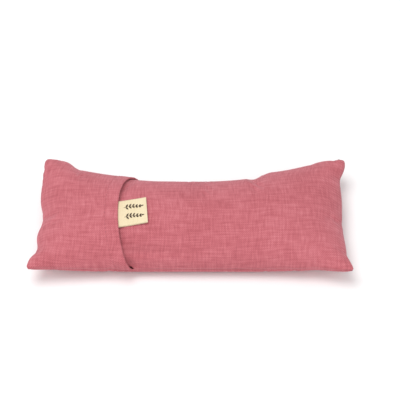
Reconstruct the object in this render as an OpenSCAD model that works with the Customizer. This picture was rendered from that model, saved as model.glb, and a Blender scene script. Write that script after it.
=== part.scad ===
// Eye pillow: a cotton insert filled with flax seed and lavender, in a linen envelope cover.
// It lies on its back panel. +Z is up, X runs along the pillow with the pocket flap at -X,
// and the fuller, straighter long side is at -Y. The origin is below its middle, where it rests.

/* [Pillow] */
// Length of the cover between its corners
pillow_l = 230; // [210:1:250]
// Width of the cover between its corners
pillow_w = 104; // [95:1:115]
// Height of the crown
crown_z = 34; // [30:0.5:38]
// How far the near long side curves in at its middle
near_waist = 4; // [1:0.5:8]
// How far the far long side curves in at its middle
far_waist = 20; // [8:0.5:22]
// How far each short end curves in at its middle
end_waist = 4; // [1:0.5:6]
// Height of the long seams at the middle of the pillow
seam_mid_z = 13; // [11:0.5:15]
// Height of the near corners
near_corner_z = 19; // [15:0.5:22]
// Height of the far corners
far_corner_z = 22; // [16:0.5:24]

/* [Linen cover] */
// Thickness of the washed linen
linen_t = 0.8; // [0.6:0.1:1.0]
// Gap between layers of cloth that move on each other
layer_gap = 0.3; // [0.3:0.05:0.5]
// Length of the flap along the long seams
flap_l = 73; // [60:1:85]
// How much further in the flap's hem sits at the middle
hem_bow = 14; // [4:1:15]
// How far the front panel reaches under the flap's hem at its middle
tuck_l = 32; // [20:1:40]
// Distance of the hem stitching from the hem's edge
hem_w = 9; // [6:0.5:12]
// Thickness of the sewing thread
thread_d = 0.6; // [0.5:0.05:0.8]

/* [Label] */
// Width of the folded cotton tape
label_w = 22; // [15:1:25]
// Length of the tape that shows
label_l = 20; // [15:0.5:25]
// Thickness of one layer of the tape
tape_t = 0.4; // [0.3:0.05:0.5]
// Turn of the label in plan, from the pillow's length
label_turn = 5; // [0:1:15]
// Place of the label's root across the pillow, at its middle
label_y = -12.5; // [-16:0.5:-6]

/* [Insert] */
// Thickness of the insert's cotton
cotton_t = 0.4; // [0.3:0.05:0.5]
// Free room for the insert at each end of the cover
insert_play = 3; // [1:0.5:3]
// Depth of the room for the lavender above the flax seed
lavender_room = 3; // [2.6:0.1:4]
// Size of a lavender bud: its diameter and its length
bud_d = 2; // [1.5:0.1:2.2]
bud_l = 5; // [3:0.5:6]

/* [Hidden] */

linen = "#cf7482";
linen_thread = "#c8707e";
tape = "#f3dfb8";
cotton = "#efe9dc";
cotton_thread = "#ffffff";
seed = "#8a5a33";
lavender = "#7a6a9c";

half_l = pillow_l / 2;
half_w = pillow_w / 2;
seam_dip = 6;          // how far the end seams sag between their corners
back_depth = 20;       // how far the back would bulge down if nothing held it up
rim = 0.2;             // half the height of the seed's edge
flap_lift = linen_t + layer_gap;
bag_lift = cotton_t + 0.1;

// Insets of each layer from the cover's outer form: [along X, along Y, up or down]
back_out = [0, 0, 0];
back_in = linen_t * [1, 1, 1];
flap_out = [0, 0, linen_t];
front_out = back_in + layer_gap * [1, 1, 1];
front_in = front_out + linen_t * [1, 1, 1];
insert_out = front_in + [insert_play + 3, 3, 1.4];
insert_in = insert_out + cotton_t * [1, 1, 1];
fill_out = insert_in + [2, 1, lavender_room];
insert_floor = linen_t + layer_gap;
fill_floor = insert_floor + cotton_t + 0.1;

front_drop = 0.2;      // the front panel's edge reaches this far below the seam
tail_a = -(half_l - flap_l + hem_bow + tuck_l) / half_l;
thread_r = thread_d / 2;
seam_z_off = -thread_r - 0.05;
tape_gap = 0.2;        // between the two layers of the folded tape
root_x = hem_a(0.5) * (half_l - end_waist) + 2;

// Numbers of cells along the pillow and across it
cells_l = 24;
cells_w = 15;

function mix(p, q, t) = p + (q - p) * t;
function flat(grid) = [for (row = grid) for (p = row) p];
function lowered(grid, d) = [for (row = grid) [for (p = row) p - [0, 0, d]]];

// Place across the pillow, 0 at the near seam and 1 at the far seam, for b from 0 to 1
function across(b) = (1 - cos(180 * b)) / 2;
function b_of(share) = acos(1 - 2 * share) / 180;
// Swell of the fill along the pillow: 1 at the middle, 0 at the ends
function swell(a) = pow(max(0, 1 - pow(abs(a), 4)), 0.7);
// Waists follow the distance x from the middle, and seam heights the place (x, y)
function waist(x) = 1 - pow(min(1, abs(x) / half_l), 2);
function near_y(x) = -half_w + near_waist * waist(x);
function far_y(x) = half_w - far_waist * waist(x);
function corner_share(x) = pow(min(1, abs(x) / half_l), 3);
function share_across(x, y) = (y - near_y(x)) / (far_y(x) - near_y(x));
function seam_z(x, y) =
    let (t = share_across(x, y))
    mix(seam_mid_z, mix(near_corner_z, far_corner_z, t) - 4 * seam_dip * t * (1 - t), corner_share(x));

// A point of the layer at an inset: a runs from -1 to 1 along the pillow and b from 0 to 1
// across it. top_at lies over the seams and back_at under them; both meet on the seams.
function layer_x(a, b, inset) = a * (half_l - inset.x - end_waist * sin(180 * b));
function layer_y(x, b, inset) = mix(near_y(x) + inset.y, far_y(x) - inset.y, across(b));
function top_at(a, b, inset, lift) =
    let (
        x = layer_x(a, b, inset),
        y = layer_y(x, b, inset),
        rise = (crown_z - seam_mid_z - inset.z) * swell(a) * sin(180 * b)
    )
    [x, y, seam_z(x, y) + lift + rise];
function back_at(a, b, inset, lift, floor_z) =
    let (
        x = layer_x(a, b, inset),
        y = layer_y(x, b, inset),
        drop = (back_depth - inset.z) * swell(a) * sin(180 * b)
    )
    [x, y, max(floor_z, seam_z(x, y) + lift - drop)];

// The flap's hem, as a value of a
function hem_a(b) = -(half_l - flap_l + hem_bow * sin(180 * b)) / half_l;

function top_grid(a0, a1, inset, lift, n = cells_l) =
    [for (i = [0:n]) [for (j = [0:cells_w]) top_at(mix(a0, a1, i / n), j / cells_w, inset, lift)]];
function back_grid(inset, lift, floor_z) =
    [for (i = [0:cells_l]) [for (j = [0:cells_w])
        back_at(mix(-1, 1, i / cells_l), j / cells_w, inset, lift, floor_z)]];
function flap_grid(inset, n = 11) =
    [for (i = [0:n]) [for (j = [0:cells_w])
        let (b = j / cells_w) top_at(mix(-1, hem_a(b), i / n), b, inset, flap_lift)]];

// A closed solid between two grids of the same size, the first one above the second
module between(upper, lower) {
    rows = len(upper);
    cols = len(upper[0]);
    half = rows * cols;
    function at(i, j) = i * cols + j;
    polyhedron(
        points = concat(flat(upper), flat(lower)),
        faces = concat(
            [for (i = [0:rows - 2]) for (j = [0:cols - 2]) each [
                [at(i, j), at(i, j + 1), at(i + 1, j + 1)],
                [at(i, j), at(i + 1, j + 1), at(i + 1, j)],
                [half + at(i, j), half + at(i + 1, j + 1), half + at(i, j + 1)],
                [half + at(i, j), half + at(i + 1, j), half + at(i + 1, j + 1)]
            ]],
            [for (i = [0:rows - 2]) each [
                [at(i, 0), at(i + 1, 0), half + at(i + 1, 0)],
                [at(i, 0), half + at(i + 1, 0), half + at(i, 0)],
                [at(i + 1, cols - 1), at(i, cols - 1), half + at(i, cols - 1)],
                [at(i + 1, cols - 1), half + at(i, cols - 1), half + at(i + 1, cols - 1)]
            ]],
            [for (j = [0:cols - 2]) each [
                [at(0, j + 1), at(0, j), half + at(0, j)],
                [at(0, j + 1), half + at(0, j), half + at(0, j + 1)],
                [at(rows - 1, j), at(rows - 1, j + 1), half + at(rows - 1, j + 1)],
                [at(rows - 1, j), half + at(rows - 1, j + 1), half + at(rows - 1, j)]
            ]]
        )
    );
}

// A thread of six sides along a path of points, open or closed
module thread_along(path, closed = false) {
    sides = 6;
    n = len(path);
    function unit(v) = v / norm(v);
    function before(i) = closed ? path[(i + n - 1) % n] : path[max(0, i - 1)];
    function after(i) = closed ? path[(i + 1) % n] : path[min(n - 1, i + 1)];
    rings = [for (i = [0:n - 1])
        let (
            along = unit(after(i) - before(i)),
            side = unit(cross(along, [0, 0, 1])),
            up = cross(side, along)
        )
        for (k = [0:sides - 1])
            path[i] + thread_r * (cos(360 * k / sides) * side + sin(360 * k / sides) * up)];
    spans = closed ? n : n - 1;
    caps = closed ? [] : [
        [for (k = [0:sides - 1]) k],
        [for (k = [0:sides - 1]) (n - 1) * sides + sides - 1 - k]
    ];
    polyhedron(
        points = rings,
        faces = concat(caps, [for (i = [0:spans - 1]) for (k = [0:sides - 1])
            let (
                p = i * sides,
                q = ((i + 1) % n) * sides,
                m = (k + 1) % sides
            )
            each [[p + k, q + k, q + m], [p + k, q + m, p + m]]])
    );
}

// The seam line round a bag, at an inset, from the near left corner
function seam_loop(inset, lift) = concat(
    [for (i = [0:cells_l - 1]) top_at(mix(-1, 1, i / cells_l), 0, inset, lift)],
    [for (j = [0:cells_w - 1]) top_at(1, j / cells_w, inset, lift)],
    [for (i = [0:cells_l - 1]) top_at(mix(1, -1, i / cells_l), 1, inset, lift)],
    [for (j = [0:cells_w - 1]) top_at(-1, 1 - j / cells_w, inset, lift)]
);

// Linen cover

module back_panel() {
    color(linen) between(back_grid(back_in, 0, linen_t), back_grid(back_out, 0, 0));
}

module front_panel() {
    color(linen) between(
        top_grid(tail_a, 1, front_out, -front_drop),
        top_grid(tail_a, 1, front_in, -front_drop)
    );
}

module perimeter_seam_thread() {
    color(linen_thread) thread_along(seam_loop([1, 1, 1], seam_z_off), closed = true);
}

module front_hem_thread() {
    a = tail_a + hem_w / half_l;
    color(linen_thread) thread_along([for (j = [1:cells_w - 1])
        top_at(a, j / cells_w, front_in - 0.1 * [1, 1, 1], -front_drop)]);
}

// Pocket flap and its label

module flap_panel() {
    cloth = flap_grid(flap_out);
    color(linen) between(cloth, lowered(cloth, linen_t));
}

module flap_hem_thread() {
    color(linen_thread) thread_along([for (j = [1:cells_w - 1])
        let (b = j / cells_w) top_at(hem_a(b) - hem_w / half_l, b, flap_out, flap_lift)]);
}

// The label's root lies just clear of the hem, and the frame here has X along the label
module at_label() {
    translate([root_x, label_y, crown_z - linen_t]) rotate([0, 0, label_turn]) children();
}

module label() {
    color(tape) at_label() rotate([90, 0, 0])
        linear_extrude(height = label_w, center = true) difference() {
            square([label_l, 2 * tape_t + tape_gap]);
            translate([-1, tape_t]) square([label_l + 1 - tape_t, tape_gap]);
        }
}

// The stitches that hold the label lie just inside the hem's edge, over the label's root
module label_thread() {
    stitches = 5;
    stitch_l = 2.4;
    pitch = 3.2;
    from_edge = 2;
    color(linen_thread) for (k = [0:stitches - 1])
        let (b = b_of(share_across(root_x, label_y + (k - (stitches - 1) / 2) * pitch)))
        translate(top_at(hem_a(b) - from_edge / half_l, b, flap_out, flap_lift))
            rotate([90, 0, 0]) cylinder(h = stitch_l, d = thread_d, center = true, $fn = 16);
}

// Insert

module insert_bag_top() {
    cloth = top_grid(-1, 1, insert_out, bag_lift);
    color(cotton) between(cloth, lowered(cloth, cotton_t));
}

module insert_bag_bottom() {
    color(cotton) between(
        back_grid(insert_in, 0, insert_floor + cotton_t), back_grid(insert_out, 0, insert_floor)
    );
}

module insert_seam_thread() {
    color(cotton_thread) thread_along(
        seam_loop(insert_out + cotton_t / 2 * [1, 1, 1], rim / 2), closed = true
    );
}

// Whip stitches over the gap in the end seam through which the insert was filled
module insert_closing_thread() {
    stitches = 7;
    color(cotton_thread) for (k = [0:stitches - 1])
        translate(top_at(1, mix(0.36, 0.64, k / (stitches - 1)), insert_out, rim / 2))
            rotate([20, 0, 0]) cylinder(h = 2.6, d = thread_d, center = true, $fn = 16);
}

module flax_seed_fill() {
    color(seed) between(
        top_grid(-1, 1, fill_out, rim), back_grid(insert_in + [2, 1, 1], -rim, fill_floor)
    );
}

module bud() {
    rotate([0, 90, 0]) {
        cylinder(h = bud_l - bud_d, d = bud_d, center = true, $fn = 24);
        for (end = [-1, 1]) translate([0, 0, end * (bud_l - bud_d) / 2]) sphere(d = bud_d, $fn = 24);
    }
}

module lavender_buds() {
    rows = 3;
    columns = 8;
    turn_step = 67;
    color(lavender) for (i = [0:columns - 1]) for (j = [0:rows - 1])
        let (
            a = mix(-0.66, 0.6, (i + 0.3 * j) / columns),
            b = mix(0.37, 0.63, j / (rows - 1))
        )
        translate(top_at(a, b, fill_out, rim) + [0, 0, bud_d / 2 + 0.2])
            rotate([0, 0, turn_step * (i * rows + j)]) bud();
}

back_panel();
front_panel();
perimeter_seam_thread();
front_hem_thread();
flap_panel();
flap_hem_thread();
label_thread();
label();
insert_bag_top();
insert_bag_bottom();
insert_seam_thread();
insert_closing_thread();
flax_seed_fill();
lavender_buds();
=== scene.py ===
"""Eye pillow: linen envelope cover with a hemmed pocket flap and tape label, and its cotton insert.

Lengths are in metres, in the frame that the CAD shares. Every cloth is a grid of rows along the
pillow (X) and columns across it (Y), drawn over one relaxed skin, so the layers follow each other's
wrinkles.
"""
import math

import bpy
import numpy as np
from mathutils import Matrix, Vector


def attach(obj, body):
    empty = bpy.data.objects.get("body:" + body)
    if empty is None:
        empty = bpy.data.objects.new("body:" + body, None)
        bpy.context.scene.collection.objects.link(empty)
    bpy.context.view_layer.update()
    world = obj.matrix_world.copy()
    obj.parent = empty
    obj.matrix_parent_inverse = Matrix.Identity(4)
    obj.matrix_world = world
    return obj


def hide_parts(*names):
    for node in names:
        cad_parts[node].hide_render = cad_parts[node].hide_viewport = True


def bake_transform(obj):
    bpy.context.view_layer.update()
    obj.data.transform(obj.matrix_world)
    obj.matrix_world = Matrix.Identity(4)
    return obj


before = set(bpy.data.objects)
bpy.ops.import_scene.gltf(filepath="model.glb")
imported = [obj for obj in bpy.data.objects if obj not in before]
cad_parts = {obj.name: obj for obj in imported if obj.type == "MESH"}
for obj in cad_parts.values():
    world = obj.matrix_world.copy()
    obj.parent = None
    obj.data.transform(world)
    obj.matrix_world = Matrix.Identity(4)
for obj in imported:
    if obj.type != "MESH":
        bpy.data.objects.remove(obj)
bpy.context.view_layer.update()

MM = 0.001

# The pillow's form: the CAD's, with the waists, seams and ears that filled cloth takes
HALF_L, HALF_W = 117.6 * MM, 52.6 * MM
CROWN = 34 * MM
NEAR_WAIST, FAR_WAIST = 6.6 * MM, 20 * MM
CORNER_R = 4 * MM                       # the ears' round tips
NEAR_SEAM_Z, FAR_SEAM_Z, NEAR_CORNER_Z, FAR_CORNER_Z = 9 * MM, 13 * MM, 19 * MM, 23 * MM
SEAM_DIP, BACK_DEPTH = 6 * MM, 20 * MM
NEAR_ROLL = 2.2 * MM                    # the seed rolls the near side out over its seam
FLOOR_GAP = 0.02 * MM                   # keeps the underside clear of the floor's own plane
LINEN_T, LAYER_GAP = 0.8 * MM, 0.3 * MM
HEM_NEAR_X, HEM_FAR_X, HEM_BOW = -42.8 * MM, -39.7 * MM, 12.7 * MM
TUCK_L, HEM_W = 32 * MM, 9 * MM
LABEL_W, LABEL_L, TAPE_T, TAPE_GAP = 22 * MM, 20 * MM, 0.4 * MM, 0.2 * MM
LABEL_TURN = math.radians(5)
LABEL_Y = -12.5 * MM
CUT_L, CUT_W = 236 * MM, 105 * MM       # the back panel's finished flat size, without its allowances
TUCK_DEPTH, TUCK_W = 1.0 * MM, 1.5 * MM     # how the cloth turns in at its seams
SEAM_ROOM, LEAST_T = 0.42, 0.05 * MM    # share of the space between the skins that each cloth may fill
BAG_SHARES, SEED_SHARES = (0.9, 0.88), (0.87, 0.84)     # of the cover, along and across
BAG_W, END_R, SIDE_R = 90 * MM, 14 * MM, 9 * MM         # the bag's width and the round of its edges
SOFTENING = 0.5 * MM                    # how softly the bag thins out where the cover leaves no room

# Rows and columns of the grids: the cloth's simulation, the skins, the front panel and the flap
SIM_ROWS, SIM_COLS = 131, 65
ROWS, COLS = 221, 101
FRONT_ROWS, FLAP_ROWS = 190, 96

# The cloth's simulation, which works better ten times larger
SIM_SCALE, SIM_FRAMES = 10, 20
FOLD_PASSES, FOLD_LIMIT = 60, 1.6 * MM  # what is kept of it: folds finer than this blur, up to this size


def mix(p, q, t):
    return p + (q - p) * t


def smooth(t):
    t = np.clip(t, 0, 1)
    return t * t * (3 - 2 * t)


def bell(x, middle, width):
    return np.exp(-((x - middle) / width) ** 2)


def across(b):
    """Share of the width at b, so the columns stand closer at the seams."""
    return (1 - np.cos(np.pi * b)) / 2


def swell(a):
    """How full the pillow is at a: full along its middle, down to nothing at its ends."""
    return np.maximum(0, 1 - np.abs(a) ** 4) ** 0.7


def waist(x):
    return 1 - np.minimum(1, np.abs(x) / HALF_L) ** 2


def near_y(x):
    waisted = NEAR_WAIST * (1 - np.minimum(1, np.abs(x) / HALF_L) ** 3)
    return -HALF_W + waisted - 1.8 * MM * smooth((x - 88 * MM) / (22 * MM))


def far_y(x):
    """The far seam has a blunt corner at its left end and a fuller shoulder towards its right end."""
    left = MM * (3.6 * smooth((-84 * MM - x) / (14 * MM)) - 3.6 * bell(x, -HALF_L, 9 * MM))
    right = MM * (3.4 * smooth((x - 46 * MM) / (16 * MM)) * smooth((122 * MM - x) / (26 * MM))
                  - 2.0 * bell(x, HALF_L, 8 * MM))
    return HALF_W - FAR_WAIST * waist(x) + left + right


def end_inset(t, right):
    """How far an end seam lies in from the corners' line, t of the way across: its ears and dents."""
    if right:
        return MM * (0.2 * (1 - t) + 3.0 * smooth(t / 0.16) * smooth((1 - t) / 0.2) + 1.4 * bell(t, 0.4, 0.2)
                     - 1.6 * bell(t, 0.93, 0.08))
    return MM * (3.4 * smooth(t / 0.15) + 2.4 * bell(t, 0.45, 0.13) + 0.8 * bell(t, 0.2, 0.06)
                 + 0.8 * bell(t, 1, 0.05) - 1.2 * bell(t, 0, 0.07) - 1.4 * bell(t, 0.09, 0.05))


def half_length(a, b):
    t = across(b)
    return HALF_L - mix(end_inset(t, False), end_inset(t, True), smooth(a + 0.5))


def seam_z(x, y):
    t = np.clip((y - near_y(x)) / (far_y(x) - near_y(x)), 0, 1)
    corner = mix(NEAR_CORNER_Z, FAR_CORNER_Z, t) - 4 * SEAM_DIP * t * (1 - t)
    return mix(mix(NEAR_SEAM_Z, FAR_SEAM_Z, t), corner, np.minimum(1, np.abs(x) / HALF_L) ** 3)


def form(a, b, over):
    """The upper or lower skin at a from -1 to 1 along the pillow and b from 0 to 1 across it."""
    x = a * half_length(a, b)
    y = mix(near_y(x), far_y(x), across(b))
    u = np.clip(1 - (1 - np.abs(a)) * HALF_L / CORNER_R, 0, 1)
    near = np.clip(1 - (y - near_y(x)) / CORNER_R, 0, 1)
    far = np.clip(1 - (far_y(x) - y) / CORNER_R, 0, 1)
    x = x - np.sign(a) * CORNER_R * u * (1 - np.sqrt(1 - (near + far) ** 2 / 2))
    y = y + CORNER_R * (near - far) * (1 - np.sqrt(1 - u ** 2 / 2))
    z = seam_z(x, y)
    bulge = swell(a) * np.sin(np.pi * b)
    if over:
        z = z + (CROWN - mix(NEAR_SEAM_Z, FAR_SEAM_Z, across(b))) * bulge
        y = y - NEAR_ROLL * swell(a) * bell(b, 0.17, 0.11) * smooth(b / 0.1)
    else:
        z = np.maximum(0.0, z - BACK_DEPTH * bulge)
    return np.stack([x, y, z], -1)


def lattice(rows, cols):
    return np.meshgrid(np.linspace(-1, 1, rows), np.linspace(0, 1, cols), indexing="ij")


def arc(points, axis):
    """The length run along one axis of a grid up to each point."""
    step = np.linalg.norm(np.diff(points, axis=axis), axis=-1)
    start = np.zeros_like(np.take(step, [0], axis))
    return np.cumsum(np.concatenate([start, step], axis), axis)


def flat_pattern(points):
    """Where each point lies on the flat cut, from its share of the way along and across."""
    s, t = arc(points, 0), arc(points, 1)
    return np.stack([(s / s[-1:] - 0.5) * CUT_L, (t / t[:, -1:] - 0.5) * CUT_W], -1)


def normals_of(points):
    n = np.cross(np.gradient(points, axis=0), np.gradient(points, axis=1))
    return n / (np.linalg.norm(n, axis=-1, keepdims=True) + 1e-12)


def blurred(field, passes):
    """A field on the grid, averaged with its neighbours that many times; its border is mirrored."""
    for _ in range(passes):
        for axis in (0, 1):
            width = [(1, 1) if k == axis else (0, 0) for k in range(field.ndim)]
            p = np.pad(field, width, mode="reflect", reflect_type="odd")
            lo = np.take(p, range(0, field.shape[axis]), axis)
            hi = np.take(p, range(2, field.shape[axis] + 2), axis)
            field = 0.5 * field + 0.25 * (lo + hi)
    return field


def resampled(grid, rows, cols):
    """A grid at another size, by cubic interpolation along each axis."""
    def along(g, n):
        m = g.shape[0]
        t = np.linspace(0, m - 1, n)
        i = np.minimum(t.astype(int), m - 2)
        f = (t - i).reshape(-1, *[1] * (g.ndim - 1))
        p = [g[np.clip(i + k, 0, m - 1)] for k in (-1, 0, 1, 2)]
        return p[1] + 0.5 * f * (p[2] - p[0] + f * (
            2 * p[0] - 5 * p[1] + 4 * p[2] - p[3] + f * (3 * (p[1] - p[2]) + p[3] - p[0])))
    return along(along(grid, rows).swapaxes(0, 1), cols).swapaxes(0, 1)


def quads(index, flip=False):
    q = np.stack([index[:-1, :-1], index[1:, :-1], index[1:, 1:], index[:-1, 1:]], -1).reshape(-1, 4)
    return q[:, ::-1] if flip else q


def relaxed_skins():
    """Both skins after the cover's cloth, cut flat and sewn at its edge, is filled and comes to rest."""
    a, b = lattice(SIM_ROWS, SIM_COLS)
    top, bottom = form(a, b, True), form(a, b, False)
    count = SIM_ROWS * SIM_COLS
    upper = np.arange(count).reshape(SIM_ROWS, SIM_COLS)
    lower = upper.copy()
    lower[1:-1, 1:-1] = count + np.arange((SIM_ROWS - 2) * (SIM_COLS - 2)).reshape(SIM_ROWS - 2, -1)

    def welded(over, under):
        return np.concatenate([over.reshape(-1, 3), under[1:-1, 1:-1].reshape(-1, 3)])

    def flat3(points):
        return np.concatenate([flat_pattern(points), np.zeros(points.shape[:2] + (1,))], -1)

    start = welded(top, bottom)
    mesh = bpy.data.meshes.new("skin")
    mesh.from_pydata((start * SIM_SCALE).tolist(), [],
                     np.concatenate([quads(upper), quads(lower, True)]).tolist())
    skin = bpy.data.objects.new("skin", mesh)
    bpy.context.scene.collection.objects.link(skin)
    skin.shape_key_add(name="Basis")
    flat = skin.shape_key_add(name="flat")
    flat.data.foreach_set("co", (welded(flat3(top), flat3(bottom)) * SIM_SCALE).ravel())
    flat.value = 0
    cloth = skin.modifiers.new("Cloth", "CLOTH")
    s = cloth.settings
    s.rest_shape_key = flat
    s.quality, s.mass, s.air_damping = 5, 0.15, 2
    s.tension_stiffness = s.compression_stiffness = 30
    s.shear_stiffness, s.bending_stiffness = 8, 0.05
    s.tension_damping = s.compression_damping = s.shear_damping = 5
    s.bending_damping = 0.5
    s.use_pressure, s.uniform_pressure_force = True, 8
    s.effector_weights.gravity = 0
    cloth.collision_settings.use_collision = False
    cloth.collision_settings.use_self_collision = False
    cloth.point_cache.frame_start, cloth.point_cache.frame_end = 1, SIM_FRAMES
    for f in range(1, SIM_FRAMES + 1):
        bpy.context.scene.frame_set(f)
    done = skin.evaluated_get(bpy.context.evaluated_depsgraph_get())
    result = done.to_mesh()
    co = np.zeros(len(result.vertices) * 3, np.float32)
    result.vertices.foreach_get("co", co)
    done.to_mesh_clear()
    bpy.data.objects.remove(skin)
    bpy.context.scene.frame_set(1)
    co = co.reshape(-1, 3).astype(float) / SIM_SCALE

    def with_wrinkles(start_grid, index):
        """The form with the folds that the cloth took along its normal, but not its slow drift."""
        moved = co[index.ravel()].reshape(start_grid.shape) - start_grid
        n = normals_of(start_grid)
        folds = np.sum((moved - blurred(moved, FOLD_PASSES)) * n, axis=-1, keepdims=True)
        return start_grid + n * FOLD_LIMIT * np.tanh(folds / FOLD_LIMIT)

    return with_wrinkles(top, upper), with_wrinkles(bottom, lower)


def mesh_object(name, verts, faces, shade_smooth=True):
    mesh = bpy.data.meshes.new(name)
    mesh.from_pydata([tuple(v) for v in verts], [], [tuple(int(k) for k in f) for f in faces])
    mesh.update()
    obj = bpy.data.objects.new(name, mesh)
    bpy.context.scene.collection.objects.link(obj)
    if shade_smooth:
        mesh.shade_smooth()
    return obj


def set_uv(mesh, coords):
    """coords is one flat place a vertex, in metres on the cut cloth."""
    uv = mesh.uv_layers.new(name="flat")
    loops = np.zeros(len(mesh.loops), np.int32)
    mesh.loops.foreach_get("vertex_index", loops)
    uv.data.foreach_set("uv", np.asarray(coords, np.float32)[loops].ravel())


def cloth_solid(name, outer, flat, thickness, hem_row=False):
    """A sheet of cloth with real thickness inside its outer face. hem_row rounds the last row's edge."""
    n = normals_of(outer)
    if np.mean(n[..., 2]) * np.mean(outer[..., 2] - inner_middle(outer)[..., 2]) < 0:
        n = -n
    t = np.broadcast_to(np.asarray(thickness, float), outer.shape[:2])[..., None]
    inner = outer - n * t
    rows, cols = outer.shape[:2]
    count = rows * cols
    top = np.arange(count).reshape(rows, cols)
    low = top + count
    verts = [outer.reshape(-1, 3), inner.reshape(-1, 3)]
    uvs = [flat.reshape(-1, 2), flat.reshape(-1, 2)]
    faces = [quads(top), quads(low, True)]
    edges = [(top[:, 0], low[:, 0], False), (top[:, -1], low[:, -1], True), (top[0], low[0], True)]
    if hem_row:
        out = outer[-1] - outer[-2]
        out /= np.linalg.norm(out, axis=-1, keepdims=True)
        rings = [top[-1]]
        for k in (1, 2, 3):
            w = math.pi * k / 4
            ring = mix(outer[-1], inner[-1], (1 - math.cos(w)) / 2) + out * t[-1] * 0.5 * math.sin(w)
            rings.append(2 * count + (k - 1) * cols + np.arange(cols))
            verts.append(ring)
            uvs.append(flat[-1] + [0.3 * MM * k, 0])
        rings.append(low[-1])
        strip = np.stack(rings)
        faces.append(quads(strip))
        for c, flip in ((0, True), (-1, False)):
            loop = [int(r[c]) for r in rings]
            caps = [(loop[0], loop[k], loop[k + 1], loop[k + 1]) for k in range(1, len(loop) - 1)]
            faces.append(np.array([c4[::-1] if flip else c4 for c4 in caps]))
    else:
        edges.append((top[-1], low[-1], False))
    for a, b, flip in edges:
        faces.append(quads(np.stack([a, b]), flip))
    polys = [tuple(dict.fromkeys(int(k) for k in f)) for f in np.concatenate(faces)]
    obj = mesh_object(name, np.concatenate(verts), polys)
    set_uv(obj.data, np.concatenate(uvs))
    return obj


def inner_middle(outer):
    """A point inside the pillow, level with the seams."""
    return np.array([0, -8 * MM, 15 * MM]) + 0 * outer


def rows_at(grid, a):
    """The grid's values at other places a along the pillow, one row of places for each new row."""
    last = grid.shape[0] - 1
    f = (a + 1) / 2 * last
    i = np.clip(np.floor(f).astype(int), 0, last - 1)
    f = (f - i)[..., None]
    col = np.broadcast_to(np.arange(grid.shape[1]), i.shape)
    p = [grid[np.clip(i + k, 0, last), col] for k in (-1, 0, 1, 2)]
    return p[1] + 0.5 * f * (p[2] - p[0] + f * (
        2 * p[0] - 5 * p[1] + 4 * p[2] - p[3] + f * (3 * (p[1] - p[2]) + p[3] - p[0])))


# ---- The relaxed skin and its normals -------------------------------------------------

top, bottom = (resampled(g, ROWS, COLS) for g in relaxed_skins())
A, B = lattice(ROWS, COLS)
flat_top, flat_bottom = flat_pattern(form(A, B, True)), flat_pattern(form(A, B, False))
n_top, n_bottom = normals_of(top), -normals_of(bottom)
# On the seams themselves the cloth faces straight out from the pillow
outward = np.stack([np.sign(A) * np.abs(A) ** 60, np.sign(B - 0.5) * np.abs(2 * across(B) - 1) ** 60,
                    np.full_like(A, 1e-9)], -1)
outward /= np.linalg.norm(outward, axis=-1, keepdims=True)
for edge in (np.s_[0], np.s_[-1], np.s_[:, 0], np.s_[:, -1]):
    n_top[edge] = n_bottom[edge] = outward[edge]


def seam_distance(flat):
    """How far each point of a flat cut is from the nearest seam."""
    return np.minimum(CUT_L / 2 - np.abs(flat[..., 0]), CUT_W / 2 - np.abs(flat[..., 1]))


def tucked(points, normals, flat):
    """The cloth turns in at its seams."""
    d = seam_distance(flat)[..., None]
    return points - normals * TUCK_DEPTH * np.exp(-(d / TUCK_W) ** 2)


top, bottom = tucked(top, n_top, flat_top), tucked(bottom, n_bottom, flat_bottom)
bottom[..., 2] = np.maximum(bottom[..., 2], FLOOR_GAP)


# ---- Linen panels ---------------------------------------------------------------------

def hem_a(b):
    """The flap's hem as a value of a: it bows in to the left between its ends on the long seams."""
    x = mix(HEM_NEAR_X, HEM_FAR_X, b) - HEM_BOW * np.sin(np.pi * b)
    return x / half_length(-0.5, b)


def hem_relief(from_edge, doubled=0.3 * MM, groove=0.35 * MM):
    """What a folded hem adds to the cloth's outer face, by the distance from its edge."""
    band = doubled * smooth((HEM_W + 1.2 * MM - from_edge) / (1.6 * MM))
    return band - groove * bell(from_edge, HEM_W, 0.9 * MM)


def hem_thickness(from_edge):
    return LINEN_T + 0.7 * MM * smooth((HEM_W + 0.6 * MM - from_edge) / (1.2 * MM))


# Each cloth thins towards a seam, where the two skins leave no room for both
room = np.maximum(LEAST_T, SEAM_ROOM * np.linalg.norm(top - bottom, axis=-1))[..., None]
cover_back = cloth_solid("cover_back", bottom, flat_bottom, np.minimum(LINEN_T, room[..., 0]))

tail_a = (HEM_NEAR_X - HEM_BOW - TUCK_L) / HALF_L
front_a = np.linspace(tail_a, 1, FRONT_ROWS)[:, None] + 0 * B[:1]
front_flat = rows_at(flat_top, front_a)
from_tail = front_flat[..., 0] - front_flat[:1, :, 0]
from_hem = (front_a - hem_a(B[:1])) * HALF_L
# The front panel lies deeper under the flap than past it, with one soft crease near the hem's lower end
front_inset = mix(mix(1.1 * MM, 0.9 * MM, smooth((B[:1] - 0.6) / 0.2)), 0.3 * MM,
                  smooth((from_hem - 8 * MM) / (30 * MM)))
front_inset += 1.5 * MM * bell(from_hem, 1.6 * MM, 3.6 * MM) * smooth((0.9 - B[:1]) / 0.2)
past_hem = smooth((from_hem + 1 * MM) / (3 * MM))
front_inset *= 1 - bell(seam_distance(front_flat), 0, 2.5 * MM) * past_hem
crease = 2.4 * MM * bell(B[:1], 0.19, 0.045) * smooth(1 - from_hem / (75 * MM)) * smooth(from_hem / (8 * MM))
front_normals = rows_at(n_top, front_a)
front_points = rows_at(top, front_a) - front_normals * (
    front_inset + crease - hem_relief(from_tail))[..., None]
cover_front = cloth_solid("cover_front", front_points[::-1], front_flat[::-1],
                          np.minimum(hem_thickness(from_tail), rows_at(room, front_a)[..., 0])[::-1],
                          hem_row=True)

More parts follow.
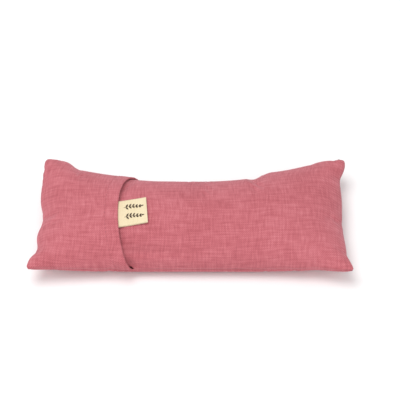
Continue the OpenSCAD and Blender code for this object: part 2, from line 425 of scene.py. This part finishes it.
flap_a = mix(-1, hem_a(B[:1]), np.linspace(0, 1, FLAP_ROWS)[:, None])
flap_flat = rows_at(flat_top, flap_a)
from_edge = flap_flat[-1:, :, 0] - flap_flat[..., 0]
# The flap's hem gapes a little, most of all near its lower end, and lies flat at the seams
hem_gape = MM * (mix(1.0, 0.2, smooth((B[:1] - 0.6) / 0.2)) + 2.4 * bell(B[:1], 0.12, 0.07))
flap_lift = LAYER_GAP + hem_relief(from_edge) + hem_gape * smooth(1 - from_edge / (16 * MM))
flap_lift = flap_lift * smooth(seam_distance(flap_flat) / (3 * MM) + 0.1)
flap_normals = rows_at(n_top, flap_a)
flap_points = rows_at(top, flap_a) + flap_normals * flap_lift[..., None]
cover_flap = cloth_solid("cover_flap", flap_points, flap_flat,
                         np.minimum(hem_thickness(from_edge), rows_at(room, flap_a)[..., 0]),
                         hem_row=True)


# ---- Thread ---------------------------------------------------------------------------

def tube_faces(base, rings, sides):
    """The sides and both ends of a tube whose rings of points start at base."""
    faces = []
    for k in range(rings - 1):
        for q in range(sides):
            r, m = base + k * sides, (q + 1) % sides
            faces.append((r + q, r + m, r + sides + m, r + sides + q))
    faces.append(tuple(base + q for q in reversed(range(sides))))
    faces.append(tuple(base + (rings - 1) * sides + q for q in range(sides)))
    return faces


def stitches(name, path, up, stitch=2.6 * MM, gap=0.7 * MM, radius=0.24 * MM):
    """A row of separate stitches along a path, each bowed a little out of the cloth."""
    path, up = np.asarray(path), np.asarray(up)
    s = np.concatenate([[0], np.cumsum(np.linalg.norm(np.diff(path, axis=0), axis=1))])
    at = lambda d, f: np.stack([np.interp(d, s, f[:, k]) for k in range(3)], -1)
    verts, faces = [], []
    sides, rings = 6, 5
    for start in np.arange(gap / 2, s[-1] - stitch, stitch + gap):
        d = start + stitch * np.linspace(0, 1, rings)
        mid, n = at(d, path), at(d, up)
        n /= np.linalg.norm(n, axis=1, keepdims=True)
        tangent = np.gradient(mid, axis=0)
        tangent /= np.linalg.norm(tangent, axis=1, keepdims=True)
        side = np.cross(tangent, n)
        share = np.linspace(-1, 1, rings)
        thick = radius * np.array([0.45, 0.95, 1, 0.95, 0.45])
        mid = mid + n * (radius * (0.7 - 1.5 * share ** 2))[:, None]
        base = len(verts)
        for k in range(rings):
            for q in range(sides):
                w = 2 * math.pi * q / sides
                verts.append(mid[k] + thick[k] * (math.cos(w) * side[k] + math.sin(w) * n[k]))
        faces += tube_faces(base, rings, sides)
    return mesh_object(name, verts, faces)


def line_at_distance(points, normals, distance, from_edge):
    """The line on a cloth that keeps this distance from its hem."""
    i = np.argmin(np.abs(from_edge - distance), axis=0)
    cols = np.arange(3, points.shape[1] - 3)
    return points[i[cols], cols], normals[i[cols], cols]


flap_hem_stitches = stitches("flap_hem_stitches",
                             *line_at_distance(flap_points, flap_normals, HEM_W, from_edge))
front_hem_stitches = stitches("front_hem_stitches",
                              *line_at_distance(front_points, front_normals, HEM_W, from_tail))


def border(grid):
    """The grid's outline, once round."""
    return np.concatenate([grid[:, 0], grid[-1, 1:], grid[-2::-1, -1], grid[0, -2::-1]])


seam_stitches = stitches("seam_stitches", border(top) - border(n_top) * 0.6 * MM, border(n_top),
                         2.0 * MM, 0.9 * MM, 0.17 * MM)


# ---- Insert ---------------------------------------------------------------------------

def at_places(grid, a, b):
    """The grid's values at other places both along and across."""
    along_it = rows_at(grid, a)
    return rows_at(along_it.swapaxes(0, 1), (2 * b - 1).T).swapaxes(0, 1)


def rounded_edge(distance, radius):
    return np.sqrt(1 - (1 - np.clip(distance / radius, 0, 1)) ** 2)


def insert_skins(room_over, room_under, shares):
    """Upper and lower faces that lie inside the cover by their room and meet in a rounded edge."""
    a = shares[0] * A
    b = np.arccos(1 - 2 * mix(0.5, across(B), shares[1])) / np.pi
    over, under = at_places(top, a, b), at_places(bottom, a, b)
    middle = (over + under) / 2
    along_d = (1 - np.abs(A)) * shares[0] * HALF_L
    across_d = (0.5 - np.abs(across(B) - 0.5)) * BAG_W
    edge = rounded_edge(along_d, END_R) * rounded_edge(across_d, SIDE_R)

    def face(skin, room):
        half = np.linalg.norm(skin - middle, axis=-1)
        share = edge * np.logaddexp(0, (half - room) / SOFTENING) * SOFTENING / (half + 1e-9)
        return middle + (skin - middle) * np.minimum(share, edge)[..., None]
    return face(over, room_over), face(under, room_under)


def closed_bag(name, over, under, flat):
    """A closed mesh of two skins that share their outline."""
    rows, cols = over.shape[:2]
    upper = np.arange(rows * cols).reshape(rows, cols)
    lower = upper.copy()
    lower[1:-1, 1:-1] = rows * cols + np.arange((rows - 2) * (cols - 2)).reshape(rows - 2, -1)
    verts = np.concatenate([over.reshape(-1, 3), under[1:-1, 1:-1].reshape(-1, 3)])
    obj = mesh_object(name, verts, np.concatenate([quads(upper), quads(lower, True)]))
    set_uv(obj.data, np.concatenate([flat.reshape(-1, 2), flat[1:-1, 1:-1].reshape(-1, 2)]))
    return obj


# The cover's creases and folds pass over the bag while it shifts, most of all away from its middle
central = smooth((swell(A) * np.sin(np.pi * B) - 0.75) / 0.2)
room_over, room_under = mix(5.0, 3.9, central) * MM, mix(3.0, 1.3, central) * MM
bag_top, bag_bottom = insert_skins(room_over, room_under, BAG_SHARES)
seed_skins = insert_skins(room_over + 2.8 * MM, room_under + 0.5 * MM, SEED_SHARES)
seed_fill = closed_bag("seed_fill", *seed_skins, flat_top)
insert_bag = closed_bag("insert_bag", bag_top, bag_bottom, flat_top)
insert_seam_stitches = stitches("insert_seam_stitches", border(bag_top), border(n_top),
                                2.2 * MM, 0.8 * MM, 0.22 * MM)
gap_columns = (np.linspace(0.36, 0.64, 9) * (COLS - 1)).astype(int)
whip = [(bag_top[-1, k], n_top[-1, k]) for k in gap_columns]


def whip_stitches(name, places, length=3.2 * MM, radius=0.25 * MM):
    """Slanting stitches over an edge, each a bowed thread from one face to the other."""
    verts, faces = [], []
    sides, rings = 6, 7
    for p, n in places:
        n = n / np.linalg.norm(n)
        up = np.array([0, 0.35, 1.0])
        up -= n * (up @ n)
        up /= np.linalg.norm(up)
        side = np.cross(up, n)
        base = len(verts)
        for k in range(rings):
            w = math.pi * (k / (rings - 1) - 0.5)
            mid = p + up * (length / 2 * math.sin(w)) + n * (0.7 * MM * math.cos(w) - 0.3 * MM)
            out = math.cos(w) * n + math.sin(w) * up
            for q in range(sides):
                v = 2 * math.pi * q / sides
                verts.append(mid + radius * (math.cos(v) * out + math.sin(v) * side))
        faces += tube_faces(base, rings, sides)
    return mesh_object(name, verts, faces)


insert_closing_stitches = whip_stitches("insert_closing_stitches", whip)


# ---- Label ----------------------------------------------------------------------------

ROOT_X = mix(HEM_NEAR_X, HEM_FAR_X, 0.5) - HEM_BOW + 2.0 * MM
along = np.array([math.cos(LABEL_TURN), math.sin(LABEL_TURN)])
aside = np.array([-math.sin(LABEL_TURN), math.cos(LABEL_TURN)])


def form_height(x, y):
    """The height of the upper form over a place."""
    t = np.clip((y - near_y(x)) / (far_y(x) - near_y(x)), 0, 1)
    b = np.arccos(1 - 2 * t) / np.pi
    return form(x / half_length(-0.5, b), b, True)[..., 2]


def label_plan(u, w):
    """The place in plan of a point u along the label and w across it."""
    return np.array([ROOT_X, LABEL_Y]) + u[..., None] * along + w[..., None] * aside


def label_height(u, w):
    """The label lies over the front panel, stiffer than it, and stands off it towards its fold."""
    plan = label_plan(u, w)
    return (form_height(plan[..., 0], plan[..., 1]) - LINEN_T - LAYER_GAP + 0.25 * MM
            + 2.6 * MM * np.clip(u / LABEL_L, 0, 1) ** 1.3)


def label_solid():
    """The folded tape: its upper leaf, the fold, and its lower leaf, with the tape's thickness."""
    stub, steps, bend_steps, columns = 3.6 * MM, 22, 8, 25
    reach = LABEL_L - TAPE_T - TAPE_GAP / 2
    bend_r = TAPE_GAP / 2 + TAPE_T / 2
    u = np.linspace(-stub, reach, steps)
    w_bend = np.linspace(math.pi / 2, -math.pi / 2, bend_steps + 2)[1:-1]
    path_u = np.concatenate([u, reach + bend_r * np.cos(w_bend), u[::-1]])
    lift = np.concatenate([np.full(steps, bend_r), bend_r * np.sin(w_bend), np.full(steps, -bend_r)])
    nu = np.concatenate([np.zeros(steps), np.cos(w_bend), np.zeros(steps)])
    nz = np.concatenate([np.ones(steps), np.sin(w_bend), -np.ones(steps)])
    run = np.concatenate([[0], np.cumsum(np.hypot(np.diff(path_u), np.diff(lift)))])
    w = np.linspace(-LABEL_W / 2, LABEL_W / 2, columns)
    U, W = np.meshgrid(path_u, w, indexing="ij")
    base = label_height(U, W) + bend_r + TAPE_T / 2
    grids = []
    for s in (TAPE_T / 2, -TAPE_T / 2):
        plan = label_plan(U + (nu * s)[:, None], W)
        z = base + (lift + nz * s)[:, None]
        grids.append(np.concatenate([plan, z[..., None]], -1))
    count = U.size
    outer = np.arange(count).reshape(U.shape)
    inner = outer + count
    faces = [quads(outer), quads(inner, True)]
    for a, b, flip in ((outer[:, 0], inner[:, 0], False), (outer[:, -1], inner[:, -1], True),
                       (outer[0], inner[0], True), (outer[-1], inner[-1], False)):
        faces.append(quads(np.stack([a, b]), flip))
    obj = mesh_object("label_tape", np.concatenate([g.reshape(-1, 3) for g in grids]),
                      np.concatenate(faces))
    flat = np.stack([np.broadcast_to(run[:, None], U.shape), W], -1).reshape(-1, 2)
    set_uv(obj.data, np.concatenate([flat, flat]))
    return obj


label_tape = label_solid()


def sprig():
    """A printed sprig of leaves: thin raised shapes on the label's upper leaf."""
    verts, faces = [], []
    thick = 0.05 * MM

    def shape(points):
        base = len(verts)
        pts = np.asarray(points)
        z = label_height(pts[:, 0], pts[:, 1]) + 2 * TAPE_T + TAPE_GAP
        plan = label_plan(pts[:, 0], pts[:, 1])
        n = len(pts)
        for lift in (thick, -thick):
            verts.extend(np.column_stack([plan, z + lift]))
        faces.append(tuple(base + k for k in range(n)))
        faces.append(tuple(base + n + k for k in reversed(range(n))))
        for k in range(n):
            m = (k + 1) % n
            faces.append((base + k, base + n + k, base + n + m, base + m))

    def leaf(cx, cy, turn, length, width):
        t = np.linspace(0, 2 * math.pi, 19)[:-1]
        x = (np.cos(t) + 1) / 2 * length
        y = np.sin(t) * width / 2 * (0.35 + 0.65 * np.sin(np.pi * np.clip(x / length, 0, 1) ** 0.8))
        c, s = math.cos(turn), math.sin(turn)
        shape(np.stack([cx + x * c - y * s, cy + x * s + y * c], -1))

    for row in (-1, 1):
        y0 = row * 4.1 * MM
        x0, x1 = 3.2 * MM, 15.5 * MM
        t = np.linspace(0, 1, 15)
        stem = lambda q: y0 + 0.6 * MM * np.sin(q * math.pi * 1.6)
        half = 0.16 * MM
        line = np.stack([mix(x0, x1, t), stem(t)], -1)
        for k in range(14):
            shape([line[k] - [0, half], line[k + 1] - [0, half],
                   line[k + 1] + [0, half], line[k] + [0, half]])
        for k, q in enumerate(np.linspace(0.12, 0.9, 5)):
            for side in (-1, 1):
                leaf(mix(x0, x1, q), float(stem(q)) + side * 0.1 * MM, side * math.radians(52 - 4 * k),
                     (3.0 - 0.25 * k) * MM, 1.3 * MM)
        leaf(x1, float(stem(1.0)), 0.1, 2.4 * MM, 1.2 * MM)
    return mesh_object("label_print", verts, faces, shade_smooth=False)


label_print = sprig()

# The stitches that hold the label, through the hem near its edge
label_ys = LABEL_Y + np.linspace(-10, 10, 12) * MM
label_cols = [int(np.argmin(np.abs(flap_points[-1, :, 1] - y))) for y in label_ys]
label_rows = np.argmin(np.abs(from_edge - 2.2 * MM), axis=0)[label_cols]
label_stitches = stitches("label_stitches", flap_points[label_rows, label_cols],
                          flap_normals[label_rows, label_cols], 2.4 * MM, 0.7 * MM, 0.22 * MM)


# ---- Materials ------------------------------------------------------------------------

class Shader:
    """A material's nodes: each call adds one and gives its output."""

    def __init__(self, name, roughness, sheen=0.0, sheen_tint=(1, 1, 1), specular=0.3):
        self.material = bpy.data.materials.new(name)
        self.material.use_nodes = True
        self.tree = self.material.node_tree
        self.surface = self.tree.nodes["Principled BSDF"]
        self.surface.inputs["Roughness"].default_value = roughness
        self.surface.inputs["Specular IOR Level"].default_value = specular
        self.surface.inputs["Sheen Weight"].default_value = sheen
        self.surface.inputs["Sheen Roughness"].default_value = 0.45
        self.surface.inputs["Sheen Tint"].default_value = (*sheen_tint, 1)

    def put(self, socket, value):
        if isinstance(value, bpy.types.NodeSocket):
            self.tree.links.new(value, socket)
        else:
            socket.default_value = value

    def node(self, kind, settings=None, **inputs):
        n = self.tree.nodes.new(kind)
        for key, value in (settings or {}).items():
            setattr(n, key, value)
        for key, value in inputs.items():
            self.put(n.inputs[key.replace("_", " ")], value)
        return n

    def math(self, operation, *values):
        n = self.node("ShaderNodeMath", {"operation": operation})
        for socket, value in zip(n.inputs, values):
            self.put(socket, value)
        return n.outputs[0]

    def flat_place(self):
        uv = self.node("ShaderNodeUVMap", {"uv_map": "flat"})
        parts = self.node("ShaderNodeSeparateXYZ", Vector=uv.outputs["UV"])
        return uv.outputs["UV"], parts.outputs["X"], parts.outputs["Y"]

    def noise(self, place, scales, detail=2.0, offset=0.0, rough=0.5):
        mapping = self.node("ShaderNodeMapping", Vector=place, Scale=(*scales,), Location=(offset,) * 3)
        n = self.node("ShaderNodeTexNoise", Vector=mapping.outputs[0], Scale=1.0, Detail=detail,
                      Roughness=rough)
        return n.outputs["Fac"]

    def weave(self, x, y, pitch):
        """The height of a plain weave, 0 to 1."""
        u, v = self.math("DIVIDE", x, pitch), self.math("DIVIDE", y, pitch)
        heights = []
        for across_it, along_it, sign in ((u, v, 1.0), (v, u, -1.0)):
            round_top = self.math("ABSOLUTE", self.math("SINE", self.math("MULTIPLY", across_it, math.pi)))
            phase = self.math("MULTIPLY", self.math("ADD", along_it, self.math("FLOOR", across_it)), math.pi)
            wave = self.math("MULTIPLY_ADD", self.math("COSINE", phase), 0.38 * sign, 0.62)
            heights.append(self.math("MULTIPLY", round_top, wave))
        return self.math("MAXIMUM", *heights)

    def ramp(self, factor, stops):
        n = self.node("ShaderNodeValToRGB", Fac=factor)
        while len(n.color_ramp.elements) < len(stops):
            n.color_ramp.elements.new(0.5)
        for e, (place, colour) in zip(n.color_ramp.elements, stops):
            e.position, e.color = place, (*colour, 1)
        return n.outputs["Color"]

    def colour(self, value):
        self.put(self.surface.inputs["Base Color"], value)

    def bump(self, height, distance, strength=1.0):
        n = self.node("ShaderNodeBump", Height=height, Distance=distance, Strength=strength)
        self.put(self.surface.inputs["Normal"], n.outputs["Normal"])


def cloth_material(name, pitch, dark, middle, light, slub, sheen, sheen_tint, relief):
    """Plain-weave cloth with thick and thin yarns both ways, and slow changes in its dye."""
    m = Shader(name, roughness=0.9, sheen=sheen, sheen_tint=sheen_tint, specular=0.2)
    place, x, y = m.flat_place()
    height = m.weave(x, y, pitch)
    yarn = 1 / (1.5 * pitch)
    warp = m.noise(place, (yarn, 95, 1), 2.0, 3.1)
    weft = m.noise(place, (80, yarn, 1), 2.0, 11.7)
    fibre = m.noise(place, (2600, 2600, 1), 2.0, 5.0)
    dye = m.noise(place, (34, 26, 1), 3.0, 1.3)
    mix_in = m.math("MULTIPLY_ADD", m.math("SUBTRACT", warp, 0.5), slub, 0.5)
    mix_in = m.math("MULTIPLY_ADD", m.math("SUBTRACT", weft, 0.5), slub, mix_in)
    # Painted shade: the weave's low gaps between yarns are coloured darker, from the same height the bump
    # uses
    mix_in = m.math("MULTIPLY_ADD", m.math("SUBTRACT", height, 0.55), 0.35, mix_in)
    mix_in = m.math("MULTIPLY_ADD", m.math("SUBTRACT", fibre, 0.5), 0.35, mix_in)
    mix_in = m.math("MULTIPLY_ADD", m.math("SUBTRACT", dye, 0.5), 0.35, mix_in)
    m.colour(m.ramp(mix_in, [(0.1, dark), (0.5, middle), (0.9, light)]))
    bump = m.math("MULTIPLY_ADD", m.math("ADD", warp, weft), 0.9, height)
    m.bump(m.math("MULTIPLY_ADD", fibre, 0.3, bump), relief, 0.7)
    return m.material


linen = cloth_material("linen_weave", 0.78 * MM, (0.37, 0.079, 0.095), (0.54, 0.143, 0.168),
                       (0.665, 0.23, 0.26), 0.65, 0.22, (1.0, 0.82, 0.9), 0.22 * MM)
tape = cloth_material("tape_weave", 0.45 * MM, (0.66, 0.52, 0.32), (0.82, 0.70, 0.47),
                      (0.90, 0.81, 0.60), 0.35, 0.1, (1, 1, 1), 0.1 * MM)
calico = cloth_material("calico_weave", 0.4 * MM, (0.62, 0.56, 0.44), (0.80, 0.76, 0.66),
                        (0.88, 0.85, 0.78), 0.5, 0.1, (1, 1, 1), 0.1 * MM)


def thread_material(name, colour):
    """Twisted sewing thread: slanting plies in its relief, with painted shade in the grooves between them.
    """
    m = Shader(name, roughness=0.65, sheen=0.2, specular=0.35)
    place = m.node("ShaderNodeTexCoord").outputs["Object"]
    wave = m.node("ShaderNodeTexWave", {"bands_direction": "DIAGONAL"}, Vector=place, Scale=700.0,
                  Distortion=1.5, Detail=1.0)
    # Painted shade: the plies' grooves are coloured darker, from the same wave as their bump
    dark = tuple(c * 0.7 for c in colour)
    m.colour(m.ramp(wave.outputs["Fac"], [(0.2, dark), (0.8, colour)]))
    m.bump(wave.outputs["Fac"], 0.06 * MM, 0.8)
    return m.material


linen_thread = thread_material("linen_thread_ply", (0.56, 0.14, 0.17))
cotton_thread = thread_material("cotton_thread_ply", (0.85, 0.83, 0.78))


def grain_material(name, size, dark, light, rough):
    """Small loose grains, each its own shade."""
    m = Shader(name, roughness=rough, specular=0.5)
    place = m.node("ShaderNodeTexCoord").outputs["Object"]
    cells = m.node("ShaderNodeTexVoronoi", Vector=place, Scale=1 / size)
    shade = m.node("ShaderNodeSeparateXYZ", Vector=cells.outputs["Color"])
    m.colour(m.ramp(shade.outputs["X"], [(0.0, dark), (1.0, light)]))
    m.bump(m.math("SUBTRACT", 1.0, cells.outputs["Distance"]), 0.8 * MM, 0.9)
    return m.material


flax = grain_material("flax_seed_grain", 3.2 * MM, (0.13, 0.05, 0.02), (0.34, 0.17, 0.07), 0.35)
lavender = grain_material("lavender_bud_grain", 0.8 * MM, (0.10, 0.07, 0.17), (0.30, 0.24, 0.38), 0.8)


def print_material():
    """Dark brown ink, its tone changing with a fine grain."""
    m = Shader("label_ink", roughness=0.7)
    place = m.node("ShaderNodeTexCoord").outputs["Object"]
    grain = m.noise(place, (3500, 3500, 3500), 2.0)
    m.colour(m.ramp(grain, [(0.3, (0.035, 0.02, 0.012)), (0.75, (0.10, 0.06, 0.035))]))
    m.bump(grain, 0.03 * MM, 0.5)
    return m.material


ink = print_material()


def dress(obj, material):
    obj.data.materials.clear()
    obj.data.materials.append(material)


# ---- What each piece is, and what it moves with ---------------------------------------

def hold(obj):
    """The flap is sewn down at both long seams; its place is baked into its mesh, with no lift set on it."""
    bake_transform(obj)


for obj, material, slot, body, nodes in (
    (cover_back, linen, "linen", "cover", ["back_panel"]),
    (cover_front, linen, "linen", "cover", ["front_panel"]),
    (seam_stitches, linen_thread, "linen_thread", "cover", ["perimeter_seam_thread"]),
    (front_hem_stitches, linen_thread, "linen_thread", "cover", ["front_hem_thread"]),
    (label_stitches, linen_thread, "linen_thread", "flap", ["label_thread"]),
    (seed_fill, flax, "flax_seed", "insert", ["flax_seed_fill"]),
    (insert_bag, calico, "cotton", "insert", ["insert_bag_top", "insert_bag_bottom"]),
    (insert_seam_stitches, cotton_thread, "cotton_thread", "insert", ["insert_seam_thread"]),
    (insert_closing_stitches, cotton_thread, "cotton_thread", "insert", ["insert_closing_thread"]),
):
    dress(obj, material)
    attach(obj, body)
    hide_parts(*nodes)

dress(cover_flap, linen)
dress(flap_hem_stitches, linen_thread)
hold(cover_flap)
hold(flap_hem_stitches)
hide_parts("flap_panel")
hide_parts("flap_hem_thread")

dress(label_tape, tape)
dress(label_print, ink)
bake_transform(label_tape)
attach(label_print, "label")
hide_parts("label")

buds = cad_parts["lavender_buds"]
buds.data.materials.clear()
buds.data.materials.append(lavender)


# ---- Studio ---------------------------------------------------------------------------

FLOOR_HALF = 6.0
WORLD_STRENGTH = 0.64
SENSOR, LENS = 36, 101.6                # in millimetres, as Blender has them
ELEVATION = math.radians(50)
AIM = Vector((6.5 * MM, 13.3 * MM, 17.5 * MM))
CAMERA_DISTANCE = 0.85


def stage_floor():
    corners = [(x * FLOOR_HALF, y * FLOOR_HALF, 0) for x, y in ((-1, -1), (1, -1), (1, 1), (-1, 1))]
    floor = mesh_object("floor", corners, [(0, 1, 2, 3)])
    m = Shader("floor_paper", roughness=0.95, specular=0.0)
    m.surface.inputs["Base Color"].default_value = (0.96, 0.96, 0.96, 1)
    floor.data.materials.append(m.material)


def area_light(name, place, target, size, power):
    light = bpy.data.lights.new(name, "AREA")
    light.shape, light.size, light.energy = "DISK", size, power
    obj = bpy.data.objects.new(name, light)
    bpy.context.scene.collection.objects.link(obj)
    obj.location = place
    obj.rotation_euler = (Vector(target) - Vector(place)).to_track_quat("-Z", "Y").to_euler()


scene = bpy.context.scene
scene.view_settings.view_transform = "Standard"
world = bpy.data.worlds.new("studio")
scene.world = world
world.use_nodes = True
background = world.node_tree.nodes["Background"]
background.inputs["Color"].default_value = (1, 1, 1, 1)
background.inputs["Strength"].default_value = WORLD_STRENGTH
stage_floor()
area_light("key", (-0.35, 0.0, 1.3), (0, 0, 0), 0.9, 8.6)
area_light("fill", (-0.1, -0.95, 1.0), (0, 0, 0), 1.2, 4.2)

camera = bpy.data.objects.new("camera", bpy.data.cameras.new("camera"))
scene.collection.objects.link(camera)
scene.camera = camera
camera.data.sensor_width, camera.data.lens = SENSOR, LENS
back = Vector((0, -math.cos(ELEVATION), math.sin(ELEVATION)))
camera.location = AIM + back * CAMERA_DISTANCE
camera.rotation_euler = (-back).to_track_quat("-Z", "Y").to_euler()
